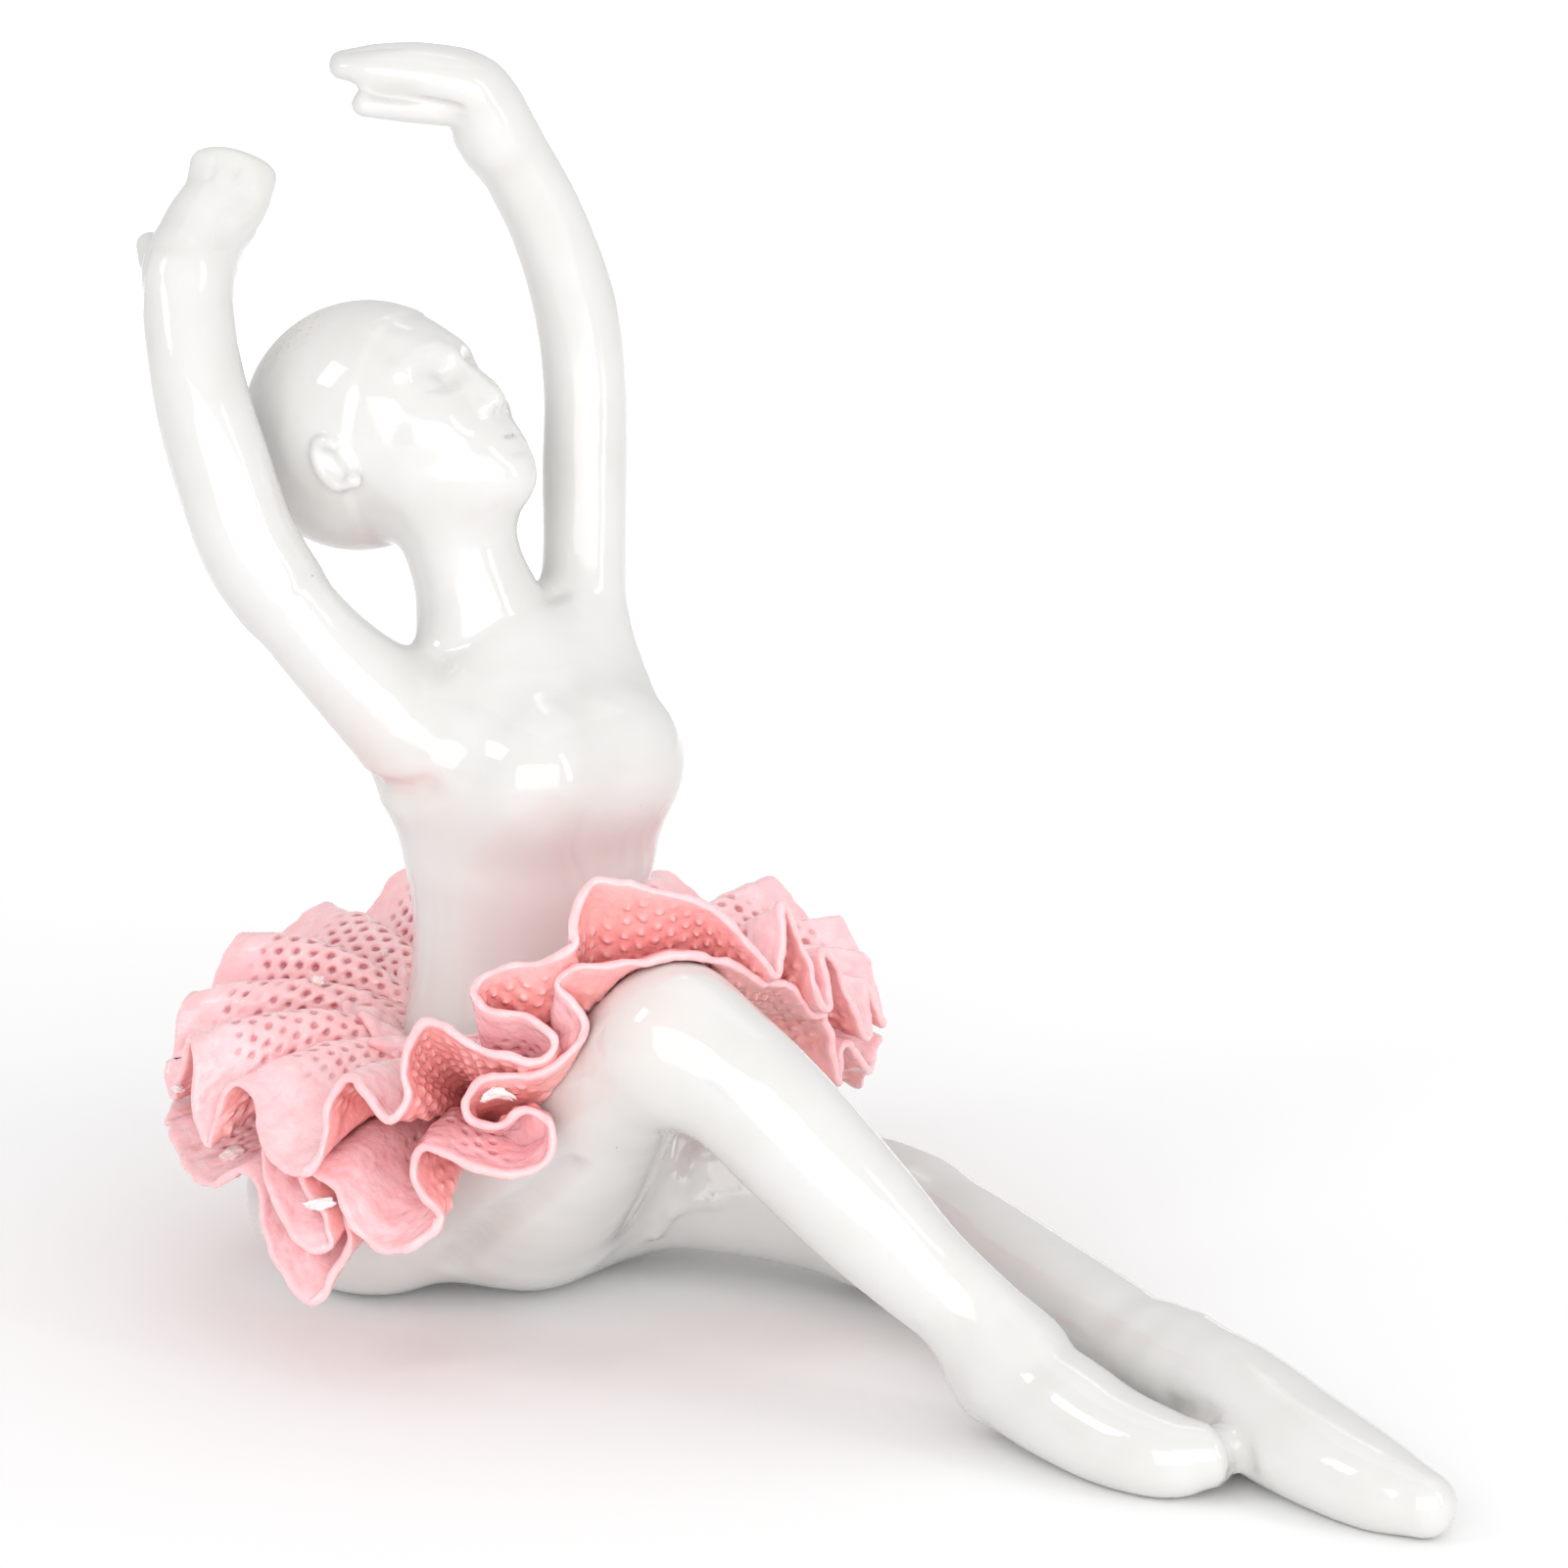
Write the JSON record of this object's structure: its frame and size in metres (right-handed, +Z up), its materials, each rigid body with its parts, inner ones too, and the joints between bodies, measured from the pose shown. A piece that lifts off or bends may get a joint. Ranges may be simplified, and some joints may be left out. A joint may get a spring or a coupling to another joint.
{
  "type": "ballerina figurine",
  "caption": "Glazed white porcelain figurine of a seated ballerina with raised arms, crossed outstretched legs and a two-tier ruffled pink lace tutu.",
  "frame": {"origin": "centre of the bounding box at the level of the surface the figurine sits on", "axes": "+Z up from the seat to the hands, +X from the seat along the outstretched legs, +Y to the dancer's left"},
  "size_m": [0.1944, 0.092, 0.1601],
  "materials": {
    "figure": "glossy",
    "lace_skirt": "glossy"
  },
  "bodies": {
    "root": {"figure": "figure", "lace_skirt": "lace_skirt"}
  },
  "joints": []
}
